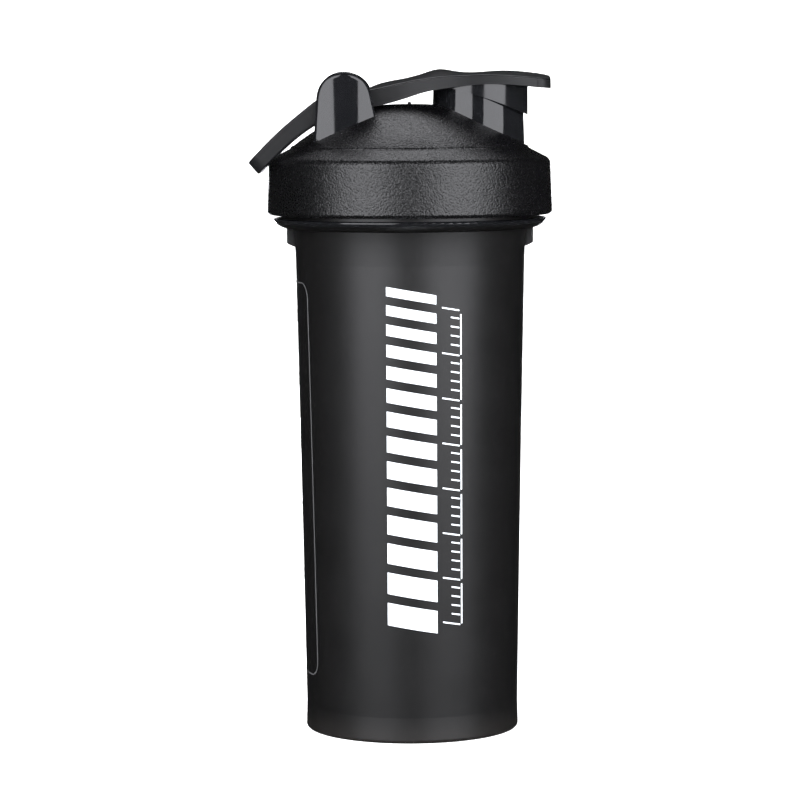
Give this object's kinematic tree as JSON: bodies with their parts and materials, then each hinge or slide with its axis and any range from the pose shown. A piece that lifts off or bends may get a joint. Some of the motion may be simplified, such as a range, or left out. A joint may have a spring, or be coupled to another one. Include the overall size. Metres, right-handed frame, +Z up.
{
  "type": "protein shaker bottle",
  "caption": "Shaker bottle with a drafted cup, a screw lid, a flip cap over an offset spout, a carry loop and a loose wire whisk ball.",
  "frame": {"origin": "centre of the foot ring's underside, on the cup's axis", "axes": "+Z up along the cup's axis, +X towards the spout and the finger tab of the flip cap, -X towards the hinge and the carry loop"},
  "size_m": [0.1058, 0.1, 0.2319],
  "materials": {
    "cup": "satin, smoke tint",
    "lid": "fine texture",
    "gasket": "silicone",
    "flip_cap": "gloss",
    "carry_loop": "gloss",
    "wire": "drawn stainless wire"
  },
  "bodies": {
    "cup_body": {"cup": "cup"},
    "gasket_body": {"lid_gasket": "gasket"},
    "lid_body": {"lid": "lid"},
    "cap_body": {"flip_cap": "flip_cap"},
    "loop_body": {"carry_loop": "carry_loop"},
    "ball_body": {"whisk_ball": "wire"}
  },
  "joints": [
    {"name": "lid_lift", "type": "slide", "parent": "cup_body", "child": "gasket_body", "axis": [0, 0, 1], "range_m": [0, 0.0241]},
    {"name": "lid_turn", "type": "hinge", "parent": "gasket_body", "child": "lid_body", "pos_m": [0, 0, 0.19], "axis": [0, 0, 1], "range_deg": [0, 1440]},
    {"name": "cap_flip", "type": "hinge", "parent": "lid_body", "child": "cap_body", "pos_m": [-0.0225, 0, 0.2216], "axis": [0, -1, 0], "range_deg": [0, 110]},
    {"name": "loop_swing", "type": "hinge", "parent": "lid_body", "child": "loop_body", "pos_m": [-0.0225, 0, 0.2216], "axis": [0, 1, 0], "range_deg": [0, 70]},
    {"name": "ball_float", "type": "slide", "parent": "cup_body", "child": "ball_body", "axis": [0, 0, 1], "range_m": [0, 0.14]}
  ],
  "couplings": [
    {"joint": "lid_lift", "follows": "lid_turn", "m_per_rad": 0.00095493}
  ]
}
